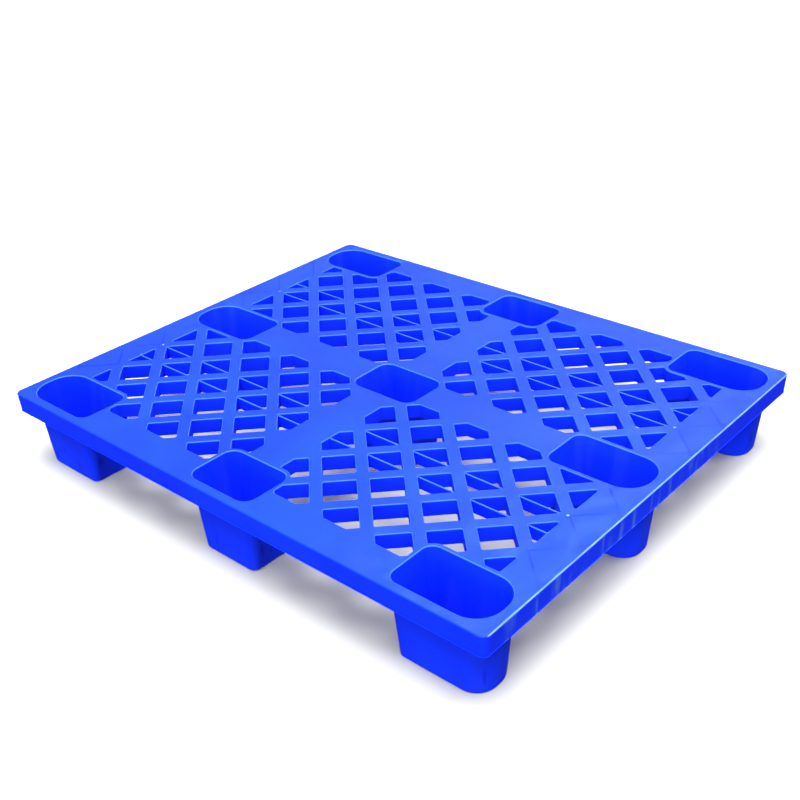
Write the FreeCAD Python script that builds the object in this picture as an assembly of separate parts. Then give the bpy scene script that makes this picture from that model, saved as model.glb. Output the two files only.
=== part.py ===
import FreeCAD, Part
import math
import os

# Nestable nine-leg plastic pallet, millimetres, +Z up.
# The origin is on the floor under the middle of the deck. +X runs along the long side
# to the right and +Y towards the back. The whole pallet is one injection moulding. It is
# written as the sections that a moulder names: hollow legs with their deck pads, lattice
# grids, border and band panels, edge rails and long ribs. Neighbours meet face to face.

# Overall size
LENGTH = 1200.0
WIDTH = 1000.0
HEIGHT = 158.0

# Deck plate and lattice
PLATE = 4.0                 # thickness of the deck plate
OPENING_SIDE = 60.0         # side of a square opening, turned 45 degrees
BAR_WIDTH = 23.0            # width of a lattice bar between two openings
OPENING_CORNER = 3.0        # corner radius of an opening, seen from above
SMALLEST_OPENING = 150.0    # square millimetres; a smaller clipped corner stays solid
WINDOW_MARGIN_X = 75.5      # lattice window to the deck's end
WINDOW_MARGIN_Y = 73.0      # lattice window to the deck's side
BAND_WIDTH = 80.0           # plain band between two windows
CELL_WALL = 3.0             # wall that hangs round each opening
CELL_DEPTH = 30.0           # deck top to the lower edge of that wall

# Edge rail
EDGE_MARGIN = 18.5          # deck edge to the mouth of a leg
SKIRT_DEPTH = 41.0
SKIRT_WALL = 3.5
SKIRT_DRAFT = 1.5           # degrees
DECK_CORNER = 15.0          # plan radius of the deck's corners
TOP_EDGE_RADIUS = 3.0

# Hollow legs
MOUTH_WIDTH = 111.0         # across Y, all nine legs
END_MOUTH_LENGTH = 188.0    # along X, the six legs at the deck's ends
MIDDLE_MOUTH_LENGTH = 155.0
END_INNER_RADIUS = 22.0     # mouth corners that face the middle of the deck
END_FLAT = 11.0             # straight part between the two round corners at the deck's end
MIDDLE_RADIUS = 25.0
LEG_WALL = 4.0
PAD_CLEARANCE = 0.5         # edge of a leg's deck pad beyond the leg's wall
RIM_RADIUS = 2.5
FOOT_INSET = 14.0           # how far the foot stands in from the leg's top, each side
FOOT_EDGE_RADIUS = 4.5
FLOOR = 4.0
FLOOR_FILLET = 3.0
DRAIN_DIAMETER = 12.0

# Ribs under the deck
RIB_WALL = 3.5
RIB_DEPTH = 25.5            # deck top to the lower edge of a long rib
RIB_DROP = 2.5              # deck top to a long rib's upper edge inside an opening
RIB_ROWS = (3, 4)           # lattice rows that carry a long rib
GUSSET_WALL = 3.0
GUSSET_DEPTH = 24.0

SAME_PLACE = 0.01           # edges closer than this to a plane or a box lie on it

# Places that follow from the sizes above
HALF_X = LENGTH / 2
HALF_Y = WIDTH / 2
STEP = (OPENING_SIDE + BAR_WIDTH) / math.sqrt(2)    # lattice row to lattice row
PAD_MARGIN = LEG_WALL + PAD_CLEARANCE               # mouth to pad edge
COLLAR = PAD_MARGIN + CELL_WALL                     # mouth to the nearest opening
RAIL_X = HALF_X - EDGE_MARGIN + PAD_MARGIN          # inner edge of the rails' flange
RAIL_Y = HALF_Y - EDGE_MARGIN + PAD_MARGIN
WINDOW_0 = BAND_WIDTH / 2
WINDOW_X1 = HALF_X - WINDOW_MARGIN_X
WINDOW_Y1 = HALF_Y - WINDOW_MARGIN_Y
PANEL_0 = WINDOW_0 - CELL_WALL                      # a grid's plate, with its frame
PANEL_X1 = WINDOW_X1 + CELL_WALL
PANEL_Y1 = WINDOW_Y1 + CELL_WALL
UNDER_PLATE = HEIGHT - PLATE
CELL_FOOT = HEIGHT - CELL_DEPTH
SKIRT_FOOT = HEIGHT - SKIRT_DEPTH
GUSSET_FOOT = HEIGHT - GUSSET_DEPTH

# Mouths of the legs in the back right quarter
END_X = (HALF_X - EDGE_MARGIN - END_MOUTH_LENGTH, HALF_X - EDGE_MARGIN)
MIDDLE_X = (-MIDDLE_MOUTH_LENGTH / 2, MIDDLE_MOUTH_LENGTH / 2)
BACK_Y = (HALF_Y - EDGE_MARGIN - MOUTH_WIDTH, HALF_Y - EDGE_MARGIN)
MIDDLE_Y = (-MOUTH_WIDTH / 2, MOUTH_WIDTH / 2)
END_RADII = (END_INNER_RADIUS, (MOUTH_WIDTH - END_FLAT) / 2)
MIDDLE_RADII = (MIDDLE_RADIUS, MIDDLE_RADIUS)

# Deck between the pads
PAD_END_X = END_X[0] - PAD_MARGIN
PAD_MIDDLE_X = MIDDLE_X[1] + PAD_MARGIN
PAD_BACK_Y = BACK_Y[0] - PAD_MARGIN
PAD_MIDDLE_Y = MIDDLE_Y[1] + PAD_MARGIN


def vector(x, y, z):
    return FreeCAD.Vector(x, y, z)


def block(x0, x1, y0, y1, z0, z1):
    return Part.makeBox(x1 - x0, y1 - y0, z1 - z0, vector(x0, y0, z0))


def grown(box, margin):
    """A box (x0, x1, y0, y1) with every side moved out by a margin."""
    x0, x1, y0, y1 = box
    return (x0 - margin, x1 + margin, y0 - margin, y1 + margin)


def corner_arc(x, y, radius, start, z):
    """A quarter circle about (x, y) that begins at the angle start, in degrees."""
    points = []
    for turn in (0.0, 45.0, 90.0):
        angle = math.radians(start + turn)
        points.append(vector(x + radius * math.cos(angle), y + radius * math.sin(angle), z))
    return Part.Arc(*points)


def outline(box, radii, z):
    """A closed outline with one radius for the corners at x0 and one for those at x1."""
    x0, x1, y0, y1 = box
    r0, r1 = radii
    arcs = (
        corner_arc(x1 - r1, y0 + r1, r1, 270.0, z),
        corner_arc(x1 - r1, y1 - r1, r1, 0.0, z),
        corner_arc(x0 + r0, y1 - r0, r0, 90.0, z),
        corner_arc(x0 + r0, y0 + r0, r0, 180.0, z),
    )
    edges = []
    for number, arc in enumerate(arcs):
        before = arcs[number - 1]
        edges.append(Part.LineSegment(before.EndPoint, arc.StartPoint).toShape())
        edges.append(arc.toShape())
    return Part.Wire(edges)


def prism(wire, depth):
    return Part.Face(wire).extrude(vector(0, 0, depth))


def edges_at(shape, z):
    """Every edge that lies whole in the level plane at z."""
    found = []
    for edge in shape.Edges:
        box = edge.BoundBox
        if abs(box.ZMin - z) < SAME_PLACE and abs(box.ZMax - z) < SAME_PLACE:
            found.append(edge)
    return found


# Legs

def changed(radii, change):
    return tuple(radius + change for radius in radii)


def pad_plate(x_span, y_span, radii):
    """The deck round a mouth: rounded towards the grids, square where it meets a rail."""
    x0, x1, y0, y1 = grown(x_span + y_span, PAD_MARGIN)
    plate = prism(outline((x0, x1, y0, y1), changed(radii, PAD_MARGIN), UNDER_PLATE), PLATE)
    if x_span == END_X:
        plate = plate.fuse(block((x0 + x1) / 2, x1, y0, y1, UNDER_PLATE, HEIGHT))
    if y_span == BACK_Y:
        plate = plate.fuse(block(x0, x1, (y0 + y1) / 2, y1, UNDER_PLATE, HEIGHT))
    return plate


def within(edge, box):
    """True where an edge lies on or inside a box (x0, x1, y0, y1)."""
    bound = edge.BoundBox
    x0, x1, y0, y1 = grown(box, SAME_PLACE)
    return bound.XMin > x0 and bound.XMax < x1 and bound.YMin > y0 and bound.YMax < y1


def leg(x_span, y_span, radii):
    """A drafted cup that hangs from its deck pad and stands on a rounded foot."""
    mouth = x_span + y_span
    foot_change = LEG_WALL - FOOT_INSET
    shoulder = outline(grown(mouth, LEG_WALL), changed(radii, LEG_WALL), HEIGHT)
    foot = outline(grown(mouth, foot_change), changed(radii, foot_change), 0.0)
    outside = Part.makeLoft([shoulder, foot], True, True)
    outside = outside.makeFillet(FOOT_EDGE_RADIUS, edges_at(outside, 0.0))
    floor = outline(grown(mouth, -FOOT_INSET), changed(radii, -FOOT_INSET), FLOOR)
    inside = Part.makeLoft([outline(mouth, radii, HEIGHT), floor], True, True)
    inside = inside.makeFillet(FLOOR_FILLET, edges_at(inside, FLOOR))
    centre = vector((mouth[0] + mouth[1]) / 2, (mouth[2] + mouth[3]) / 2, -FLOOR / 2)
    drain = Part.makeCylinder(DRAIN_DIAMETER / 2, 2 * FLOOR, centre)
    cup = pad_plate(x_span, y_span, radii).fuse(outside).removeSplitter()
    cup = cup.cut(inside).cut(drain)
    rim = [edge for edge in edges_at(cup, HEIGHT) if within(edge, mouth)]
    return cup.makeFillet(RIM_RADIUS, rim)


# Lattice grids

def window_face():
    """The back right window of the deck, less a collar round each of its four mouths."""
    rectangle = Part.makePlane(
        WINDOW_X1 - WINDOW_0, WINDOW_Y1 - WINDOW_0, vector(WINDOW_0, WINDOW_0, 0))
    for x_span, radii in ((END_X, END_RADII), (MIDDLE_X, MIDDLE_RADII)):
        for y_span in (BACK_Y, MIDDLE_Y):
            ring = outline(grown(x_span + y_span, COLLAR), changed(radii, COLLAR), 0.0)
            rectangle = rectangle.cut(Part.Face(ring))
    return rectangle


def diamond(x, y):
    """A square opening about (x, y), turned so that its corners point along X and Y."""
    reach = OPENING_SIDE / math.sqrt(2)
    corners = [
        vector(x + reach, y, 0), vector(x, y + reach, 0),
        vector(x - reach, y, 0), vector(x, y - reach, 0),
        vector(x + reach, y, 0),
    ]
    return Part.Face(Part.makePolygon(corners))


def openings():
    """The openings of one window, each a flat face with rounded corners."""
    window = window_face()
    found = []
    for row in range(1, int(WINDOW_Y1 / STEP) + 2):
        for column in range(1, int(WINDOW_X1 / STEP) + 2):
            if (row + column) % 2 == 0:
                continue
            clipped = diamond(column * STEP, row * STEP).common(window)
            for face in clipped.Faces:
                if face.Area > SMALLEST_OPENING:
                    tight = face.OuterWire.makeOffset2D(-OPENING_CORNER, 2)
                    found.append(Part.Face(tight.makeOffset2D(OPENING_CORNER, 0)))
    return found


def raised(face, z0, z1):
    """A flat face at floor level made into a prism between two heights."""
    lifted = face.copy()
    lifted.translate(vector(0, 0, z0))
    return lifted.extrude(vector(0, 0, z1 - z0))


def rib_block(row, x0, x1, top):
    """The space of a long rib in this lattice row, up to a given height."""
    y = row * STEP
    return block(x0, x1, y - RIB_WALL / 2, y + RIB_WALL / 2, HEIGHT - RIB_DEPTH, top)


def grid(faces):
    """The plate of one window with its openings and the walls that hang round them."""
    body = block(PANEL_0, PANEL_X1, PANEL_0, PANEL_Y1, UNDER_PLATE, HEIGHT)
    for x_span, radii in ((END_X, END_RADII), (MIDDLE_X, MIDDLE_RADII)):
        for y_span in (BACK_Y, MIDDLE_Y):
            body = body.cut(pad_plate(x_span, y_span, radii))
    walls = []
    holes = []
    for face in faces:
        wall = Part.Face(face.OuterWire.makeOffset2D(CELL_WALL, 0))
        walls.append(raised(wall, CELL_FOOT, HEIGHT))
        holes.append(raised(face, CELL_FOOT, HEIGHT))
    body = body.fuse(walls).cut(holes)
    slots = [rib_block(row, 0, HALF_X, UNDER_PLATE) for row in RIB_ROWS]
    return body.cut(slots).removeSplitter()


def long_rib(row, faces, space):
    """A rib that crosses the deck and shows its upper edge in the openings it passes."""
    half = rib_block(row, 0, HALF_X, UNDER_PLATE).common(space)
    shown = []
    for face in faces:
        lip = raised(face, UNDER_PLATE, HEIGHT).common(rib_block(row, 0, HALF_X, HEIGHT - RIB_DROP))
        if lip.Solids:
            shown.append(lip)
    half = half.fuse(shown)
    return half.fuse(half.mirror(vector(0, 0, 0), vector(1, 0, 0))).removeSplitter()


# Edge rails

def deck_outline(z, wall=0.0):
    """The skirt's outline at a height: outside, or inside by a wall's thickness."""
    drop = HEIGHT - TOP_EDGE_RADIUS - z
    inset = wall + drop * math.tan(math.radians(SKIRT_DRAFT))
    box = (-HALF_X + inset, HALF_X - inset, -HALF_Y + inset, HALF_Y - inset)
    radius = DECK_CORNER - inset
    return outline(box, (radius, radius), z)


def under_deck():
    """The space inside the skirt, below the deck plate."""
    ends = [deck_outline(UNDER_PLATE, SKIRT_WALL), deck_outline(SKIRT_FOOT, SKIRT_WALL)]
    return Part.makeLoft(ends, True, True)


def rail_ring(space):
    """The deck's whole edge: a flange at deck level and a drafted skirt below it."""
    ring = Part.makeLoft([deck_outline(HEIGHT), deck_outline(SKIRT_FOOT)], True, True)
    ring = ring.makeFillet(TOP_EDGE_RADIUS, edges_at(ring, HEIGHT))
    return ring.cut(space).cut(block(-RAIL_X, RAIL_X, -RAIL_Y, RAIL_Y, UNDER_PLATE, HEIGHT))


def rails(space):
    """The back rail and the right rail, mitred at the deck's corners."""
    ring = rail_ring(space)
    outer = (HALF_X + EDGE_MARGIN, HALF_Y + EDGE_MARGIN)
    inner = (HALF_X - EDGE_MARGIN, HALF_Y - EDGE_MARGIN)
    back = (outer, (-outer[0], outer[1]), (-inner[0], inner[1]), inner)
    right = (outer, inner, (inner[0], -inner[1]), (outer[0], -outer[1]))
    cut = []
    for corners in (back, right):
        points = [vector(x, y, 0) for x, y in corners + corners[:1]]
        cut.append(ring.common(prism(Part.makePolygon(points), HEIGHT)))
    return cut


# Panels between the legs

def gusset_along_y(x, y0, y1):
    return block(x - GUSSET_WALL / 2, x + GUSSET_WALL / 2, y0, y1, GUSSET_FOOT, UNDER_PLATE)


def gusset_along_x(y, x0, x1):
    return block(x0, x1, y - GUSSET_WALL / 2, y + GUSSET_WALL / 2, GUSSET_FOOT, UNDER_PLATE)


def steps_between(low, high, left_out=()):
    """Multiples of the lattice step that lie clear between two limits."""
    places = []
    for number in range(1, int(high / STEP) + 1):
        place = number * STEP
        if number not in left_out and low + GUSSET_WALL < place < high - GUSSET_WALL:
            places.append(place)
    return places


def side_border(space):
    """Deck between a corner leg and the middle leg of the back side."""
    panel = block(PAD_MIDDLE_X, PAD_END_X, PANEL_Y1, RAIL_Y, UNDER_PLATE, HEIGHT)
    gussets = [gusset_along_y(x, PANEL_Y1, HALF_Y) for x in steps_between(PAD_MIDDLE_X, PAD_END_X)]
    return panel.fuse([gusset.common(space) for gusset in gussets]).removeSplitter()


def end_border(space):
    """Deck between a corner leg and the middle leg of the right end."""
    panel = block(PANEL_X1, RAIL_X, PAD_MIDDLE_Y, PAD_BACK_Y, UNDER_PLATE, HEIGHT)
    places = steps_between(PAD_MIDDLE_Y, PAD_BACK_Y, RIB_ROWS)
    gussets = [gusset_along_x(y, PANEL_X1, HALF_X) for y in places]
    return panel.fuse([gusset.common(space) for gusset in gussets]).removeSplitter()


def back_band(slots):
    """The plain band between the centre leg and the middle leg of the back side."""
    panel = block(-PANEL_0, PANEL_0, PAD_MIDDLE_Y, PAD_BACK_Y, UNDER_PLATE, HEIGHT)
    ribs = [gusset_along_y(0, PAD_MIDDLE_Y, PAD_BACK_Y)]
    for y in steps_between(PAD_MIDDLE_Y, PAD_BACK_Y, RIB_ROWS):
        ribs.append(gusset_along_x(y, -PANEL_0, PANEL_0))
    return panel.fuse(ribs).cut(slots).removeSplitter()


def right_band():
    """The plain band between the centre leg and the middle leg of the right end."""
    panel = block(PAD_MIDDLE_X, PAD_END_X, -PANEL_0, PANEL_0, UNDER_PLATE, HEIGHT)
    ribs = [gusset_along_x(0, PAD_MIDDLE_X, PAD_END_X)]
    for x in steps_between(PAD_MIDDLE_X, PAD_END_X):
        ribs.append(gusset_along_y(x, -PANEL_0, PANEL_0))
    return panel.fuse(ribs).removeSplitter()


# The whole pallet

def mirrored(shape, flip_x, flip_y):
    if flip_x:
        shape = shape.mirror(vector(0, 0, 0), vector(1, 0, 0))
    if flip_y:
        shape = shape.mirror(vector(0, 0, 0), vector(0, 1, 0))
    return shape


def in_quarters(parts, name, shape):
    """Add a shape of the back right quarter and its three mirror images."""
    for row, flip_y in (("back", False), ("front", True)):
        for column, flip_x in (("right", False), ("left", True)):
            parts[name.format(row=row, column=column)] = mirrored(shape, flip_x, flip_y)


def build():
    """Every node of the pallet, as a dictionary from its name to its shape."""
    space = under_deck()
    faces = openings()
    slots = [rib_block(row, -HALF_X, HALF_X, UNDER_PLATE) for row in RIB_ROWS]
    parts = {}
    in_quarters(parts, "leg_{row}_{column}", leg(END_X, BACK_Y, END_RADII))
    middle_back = leg(MIDDLE_X, BACK_Y, MIDDLE_RADII)
    middle_right = leg(END_X, MIDDLE_Y, END_RADII)
    parts["leg_back_centre"] = middle_back
    parts["leg_front_centre"] = mirrored(middle_back, False, True)
    parts["leg_middle_right"] = middle_right
    parts["leg_middle_left"] = mirrored(middle_right, True, False)
    parts["leg_middle_centre"] = leg(MIDDLE_X, MIDDLE_Y, MIDDLE_RADII)
    in_quarters(parts, "grid_{row}_{column}", grid(faces))
    in_quarters(parts, "border_{row}_{column}", side_border(space))
    in_quarters(parts, "border_{column}_{row}", end_border(space))
    back_rail, right_rail = rails(space)
    parts["edge_rail_back"] = back_rail
    parts["edge_rail_front"] = mirrored(back_rail, False, True)
    parts["edge_rail_right"] = right_rail
    parts["edge_rail_left"] = mirrored(right_rail, True, False)
    band = back_band(slots)
    parts["band_back"] = band
    parts["band_front"] = mirrored(band, False, True)
    band = right_band()
    parts["band_right"] = band
    parts["band_left"] = mirrored(band, True, False)
    for row in RIB_ROWS:
        rib = long_rib(row, faces, space)
        parts["long_rib_back_{}".format(row)] = rib
        parts["long_rib_front_{}".format(row)] = mirrored(rib, False, True)
    return parts


os.makedirs("parts", exist_ok=True)
for node, shape in build().items():
    shape.exportStep("parts/" + node + ".step")
    print(node, len(shape.Solids), round(shape.Volume / 1000, 1), "cm3")
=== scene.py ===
# %% [markdown]
# # A nestable plastic pallet
# The real pallet is one blue moulding in high-density polyethylene: a plate with four
# lattice windows, nine hollow legs that hang from it like cups, and a skirt round its edge.
# This lesson starts from the measured model, which gives every place and size. It then
# makes the pieces that show again, with rounded edges, and gives them the finish of the
# moulded plastic. All lengths are metres, and every piece stays where the measured one is.

# %% Load the measured model
import math
import bmesh
import bpy
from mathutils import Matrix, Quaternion, Vector


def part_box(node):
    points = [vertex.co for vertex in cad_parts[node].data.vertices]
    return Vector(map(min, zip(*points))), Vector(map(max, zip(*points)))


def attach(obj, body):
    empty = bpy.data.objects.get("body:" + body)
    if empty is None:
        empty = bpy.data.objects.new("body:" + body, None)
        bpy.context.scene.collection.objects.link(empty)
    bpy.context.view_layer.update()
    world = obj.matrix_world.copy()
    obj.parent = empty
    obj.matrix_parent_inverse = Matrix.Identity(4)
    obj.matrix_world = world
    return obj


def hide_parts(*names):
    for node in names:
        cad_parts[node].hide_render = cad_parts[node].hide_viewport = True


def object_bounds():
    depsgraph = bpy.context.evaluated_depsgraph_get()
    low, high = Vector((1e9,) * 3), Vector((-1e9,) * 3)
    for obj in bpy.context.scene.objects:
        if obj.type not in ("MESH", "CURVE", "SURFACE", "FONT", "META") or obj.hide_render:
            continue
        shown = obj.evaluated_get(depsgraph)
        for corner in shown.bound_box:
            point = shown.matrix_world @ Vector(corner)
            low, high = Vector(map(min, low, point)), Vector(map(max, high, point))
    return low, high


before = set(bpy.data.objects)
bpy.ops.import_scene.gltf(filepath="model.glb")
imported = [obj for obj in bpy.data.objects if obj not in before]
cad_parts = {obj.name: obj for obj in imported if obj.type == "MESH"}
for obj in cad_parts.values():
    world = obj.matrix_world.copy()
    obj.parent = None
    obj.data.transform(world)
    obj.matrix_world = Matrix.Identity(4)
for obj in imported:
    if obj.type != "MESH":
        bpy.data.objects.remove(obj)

cad_low, cad_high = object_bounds()
print("measured box", [round(v, 4) for v in cad_low], [round(v, 4) for v in cad_high])

# %% [markdown]
# ## Sizes
# A moulder's drawing gives a handful of numbers that everything else follows. The outer
# sizes and the place of each section are read off the measured model. Only the thicknesses
# and the radii are written here, because a section's box doesn't tell them.

# %% Name the sizes
MM = 0.001
TOP = cad_high.z
HALF_X = cad_high.x
HALF_Y = cad_high.y
PLATE = 4.0 * MM
UNDER_PLATE = TOP - PLATE
PAD_MARGIN = 4.5 * MM           # mouth of a leg to the edge of its deck pad


def span(node):
    """A node's box seen from above: x0, x1, y0, y1."""
    low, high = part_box(node)
    return (low[0], high[0], low[1], high[1])


def grown(box, margin):
    """The same box with every side moved out."""
    x0, x1, y0, y1 = box
    return (x0 - margin, x1 + margin, y0 - margin, y1 + margin)


print("deck", round(2 * HALF_X, 3), "x", round(2 * HALF_Y, 3), "top at", round(TOP, 3))

# %% [markdown]
# ## Outlines and lofts
# Seen from above, nearly everything on this pallet is a rectangle with rounded corners.
# Boxes with a Bevel modifier could make them, but the corners of a leg have two different
# radii, and the sides lean. A loft does both: it joins a stack of outlines that all have
# the same number of points. A round hole is an outline too, one that is all corner.

# %% Draw an outline
CORNER_STEPS = 12


def outline(box, radii, z):
    """Points anticlockwise; radii are right front, right back, left back, left front."""
    x0, x1, y0, y1 = box
    corners = ((x1, y0, -1, 1), (x1, y1, -1, -1), (x0, y1, 1, -1), (x0, y0, 1, 1))
    points = []
    for turn, ((x, y, way_x, way_y), radius) in enumerate(zip(corners, radii)):
        for step in range(CORNER_STEPS + 1):
            angle = math.radians(90.0 * (turn - 1 + step / CORNER_STEPS))
            points.append((
                x + way_x * radius + radius * math.cos(angle),
                y + way_y * radius + radius * math.sin(angle),
                z))
    return points


print("points in an outline:", len(outline((0, 1, 0, 1), (0, 0, 0, 0), 0)))

# %% Join outlines into a loft
SAME_POINT = 0.01 * MM


def mesh_object(name, points, faces):
    """A new object at the origin, with doubles merged and faces turned outwards."""
    mesh = bpy.data.meshes.new(name)
    mesh.from_pydata(points, [], faces)
    work = bmesh.new()
    work.from_mesh(mesh)
    bmesh.ops.remove_doubles(work, verts=work.verts, dist=SAME_POINT)
    bmesh.ops.dissolve_degenerate(work, edges=work.edges, dist=SAME_POINT / 10)
    bmesh.ops.recalc_face_normals(work, faces=work.faces)
    work.to_mesh(mesh)
    work.free()
    made = bpy.data.objects.new(name, mesh)
    bpy.context.scene.collection.objects.link(made)
    return made


def loft(name, rows):
    """A closed skin through outlines; the last one joins the first."""
    count = len(rows[0])
    faces = []
    for row in range(len(rows)):
        here, there = row * count, (row + 1) % len(rows) * count
        for point in range(count):
            after = (point + 1) % count
            faces.append((here + point, here + after, there + after, there + point))
    return mesh_object(name, [point for row in rows for point in row], faces)


print("points closer than", SAME_POINT, "m are one point")

# %% [markdown]
# ### Rounded corners of a section
# Moulded edges are never sharp. A corner of a flat section is replaced by an arc that
# touches both of its sides, also where they don't meet at a right angle, as on a leaning
# wall. The same few lines serve rims, floors, feet and the deck's shoulder.

# %% Round a corner
FAR_IN = -1.0               # a point far inside a piece, for a level line to aim at


def rounded(before, corner, after, radius, steps=5):
    """Points of the arc that rounds a corner of a flat section, given as (out, z) pairs."""
    corner = Vector(corner)
    back = (Vector(before) - corner).normalized()
    ahead = (Vector(after) - corner).normalized()
    half = back.angle(ahead) / 2
    centre = corner + (back + ahead).normalized() * (radius / math.sin(half))
    start = corner + back * (radius / math.tan(half)) - centre
    end = corner + ahead * (radius / math.tan(half)) - centre
    turn = start.angle(end)
    points = []
    for step in range(steps + 1):
        part = step / steps
        mix = start * math.sin((1 - part) * turn) + end * math.sin(part * turn)
        points.append(tuple(centre + mix / math.sin(turn)))
    return points


print("a rounded right angle:", len(rounded((1, 0), (0, 0), (0, 1), 0.5)), "points")

# %% [markdown]
# ## Helpers for node trees
# The plastic and the lattice are both node trees, and a tree is long-winded to write: make
# a node, set it, link it. A few helpers let one line read like one step of a sum. They take
# sockets and plain numbers alike, and a plain number goes straight into its socket, because
# a node that only holds a constant is one more thing to follow.

# %% Helpers for nodes
def add(tree, kind, values=None, **settings):
    """A node with its settings made and its sockets filled or linked."""
    node = tree.nodes.new(kind)
    for name, value in settings.items():
        setattr(node, name, value)
    for name, value in (values or {}).items():
        fill(tree, node.inputs[name], value)
    return node


def fill(tree, socket, value):
    if isinstance(value, bpy.types.NodeSocket):
        tree.links.new(value, socket)
    else:
        socket.default_value = value


def calc(tree, operation, *values):
    """One number worked out from others."""
    node = add(tree, "ShaderNodeMath", operation=operation)
    for socket, value in zip(node.inputs, values):
        fill(tree, socket, value)
    return node.outputs[0]


def vector_calc(tree, operation, *values):
    """One vector, or the dot product, worked out from others."""
    node = add(tree, "ShaderNodeVectorMath", operation=operation)
    for socket, value in zip(node.inputs, values):
        fill(tree, socket, value)
    return node.outputs["Value" if operation in ("DOT_PRODUCT", "LENGTH") else "Vector"]


print("node helpers ready")

# %% Soft steps and streaks
EVEN = (1, 1, 1)            # the stretch of a noise that isn't drawn out


def smooth_step(tree, value, low, high):
    """0 below low, 1 above high, and a soft rise between."""
    node = add(tree, "ShaderNodeMapRange", {"Value": value, "From Min": low, "From Max": high},
               interpolation_type="SMOOTHSTEP")
    return node.outputs["Result"]


def stretched_noise(tree, place, stretch, scale, detail=3.0, distortion=0.0):
    """Noise that is drawn out along one axis, for streaks and scratches."""
    mapping = add(tree, "ShaderNodeMapping", {"Vector": place, "Scale": stretch})
    noise = add(tree, "ShaderNodeTexNoise", {
        "Vector": mapping.outputs["Vector"], "Scale": scale, "Detail": detail,
        "Distortion": distortion})
    return noise.outputs["Fac"]


print("soft steps and streaks ready")

# %% [markdown]
# ## The moulded blue plastic
# The pallet is dyed right through, so its colour is one deep blue with faint clouds where
# the melt flowed. What makes it look used is the wear on top: scrapes, lines that have sunk
# over the ribs, grime on the skirt. Paler and deeper blues also paint highlights on the rims
# and along the worn shoulder, shade deep in the cups and reflections on their walls. Image
# textures could show all that, but every piece would need unwrapping. Masks worked out from
# the place on the pallet need no unwrapping, and they run on from piece to piece, as the
# one moulding does.

# %% Masks and paint
LINE_CORE = 0.3             # the part of a line's half width that is full


def band(tree, value, low, high, soft):
    """1 between two limits, with soft sides."""
    up = smooth_step(tree, value, low - soft, low + soft)
    down = smooth_step(tree, value, high + soft, high - soft)
    return product(tree, up, down)


def product(tree, *values):
    result = values[0]
    for value in values[1:]:
        result = calc(tree, "MULTIPLY", result, value)
    return result


def painted(tree, under, mask, colour):
    """A colour laid over another where a mask says so."""
    mix = add(tree, "ShaderNodeMix", {"Factor": mask, "A": under, "B": colour}, data_type="RGBA")
    return mix.outputs["Result"]


def line_field(tree, value, period, half_width):
    """Thin lines at every whole period."""
    wrapped = calc(tree, "PINGPONG", value, period / 2)
    return smooth_step(tree, wrapped, half_width, half_width * LINE_CORE)


print("masks and paint ready")

# %% Find the place on the pallet
DECK_FACE = (TOP - 0.3 * MM, TOP - 0.05 * MM)       # heights that fade into the deck's face


def places(tree):
    """Where a shaded point lies on the pallet, as sockets by name."""
    place = add(tree, "ShaderNodeTexCoord").outputs["Object"]
    across, along, height = add(tree, "ShaderNodeSeparateXYZ", {"Vector": place}).outputs
    at = {"place": place, "across": across, "along": along, "height": height}
    at["edge_x"] = calc(tree, "SUBTRACT", HALF_X, calc(tree, "ABSOLUTE", across))
    at["edge_y"] = calc(tree, "SUBTRACT", HALF_Y, calc(tree, "ABSOLUTE", along))
    at["deck"] = smooth_step(tree, height, *DECK_FACE)
    return at


print("deck edges at", round(HALF_X, 3), "and", round(HALF_Y, 3))

# %% [markdown]
# ### Colour and painted highlights on the rims
# Two blues that differ a little, mixed by broad noise, give the clouds. A paler blue paints
# the highlight on every rim of the openings and the cups, and on the upper edges of the
# long ribs. These lie at known heights, so a band of height finds them all at once. The
# deck's outer shoulder lies at the same height and is kept out of that band.

# %% Colour the plastic
DEEP_BLUE = (0.0022, 0.021, 0.80, 1.0)
CLOUD_BLUE = (0.0034, 0.030, 0.88, 1.0)
# a paler blue that paints the highlight on rims and rib tops
RIM_HIGHLIGHT_BLUE = (0.055, 0.17, 0.95, 1.0)
CLOUDS = (0.3, 0.75)                                # noise from one blue to the other
RIM_HEIGHTS = (TOP - 2.2 * MM, TOP - 0.3 * MM)      # rounded rims of openings and cups
RIM_SOFT = 0.15 * MM
RIM_HIGHLIGHT_STRENGTH = 0.5
RIB_HEIGHTS = (TOP - 2.55 * MM, TOP - 2.45 * MM)    # upper edges of the long ribs
RIB_SOFT = 0.03 * MM
RIB_HIGHLIGHT_STRENGTH = 0.3
SHOULDER_ZONE = (4 * MM, 8 * MM)                    # in from the deck's edge, left alone


def clouded(tree, at):
    """The plain dyed plastic."""
    clouds = stretched_noise(tree, at["place"], EVEN, scale=5.0, detail=4.0, distortion=0.6)
    return painted(tree, DEEP_BLUE, smooth_step(tree, clouds, *CLOUDS), CLOUD_BLUE)


def rim_highlights(tree, at, colour):
    """Painted highlights on the rims of the openings and the cups, and on the upper edges of the long
    ribs.
    """
    inner = calc(tree, "MINIMUM", at["edge_x"], at["edge_y"])
    rims = band(tree, at["height"], *RIM_HEIGHTS, RIM_SOFT)
    rims = product(tree, rims, smooth_step(tree, inner, *SHOULDER_ZONE))
    ribs = band(tree, at["height"], *RIB_HEIGHTS, RIB_SOFT)
    mask = calc(tree, "ADD", product(tree, rims, RIM_HIGHLIGHT_STRENGTH), product(tree, ribs, RIB_HIGHLIGHT_STRENGTH))
    return painted(tree, colour, mask, RIM_HIGHLIGHT_BLUE)


print("blue", DEEP_BLUE[:3], "to", CLOUD_BLUE[:3])
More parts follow.
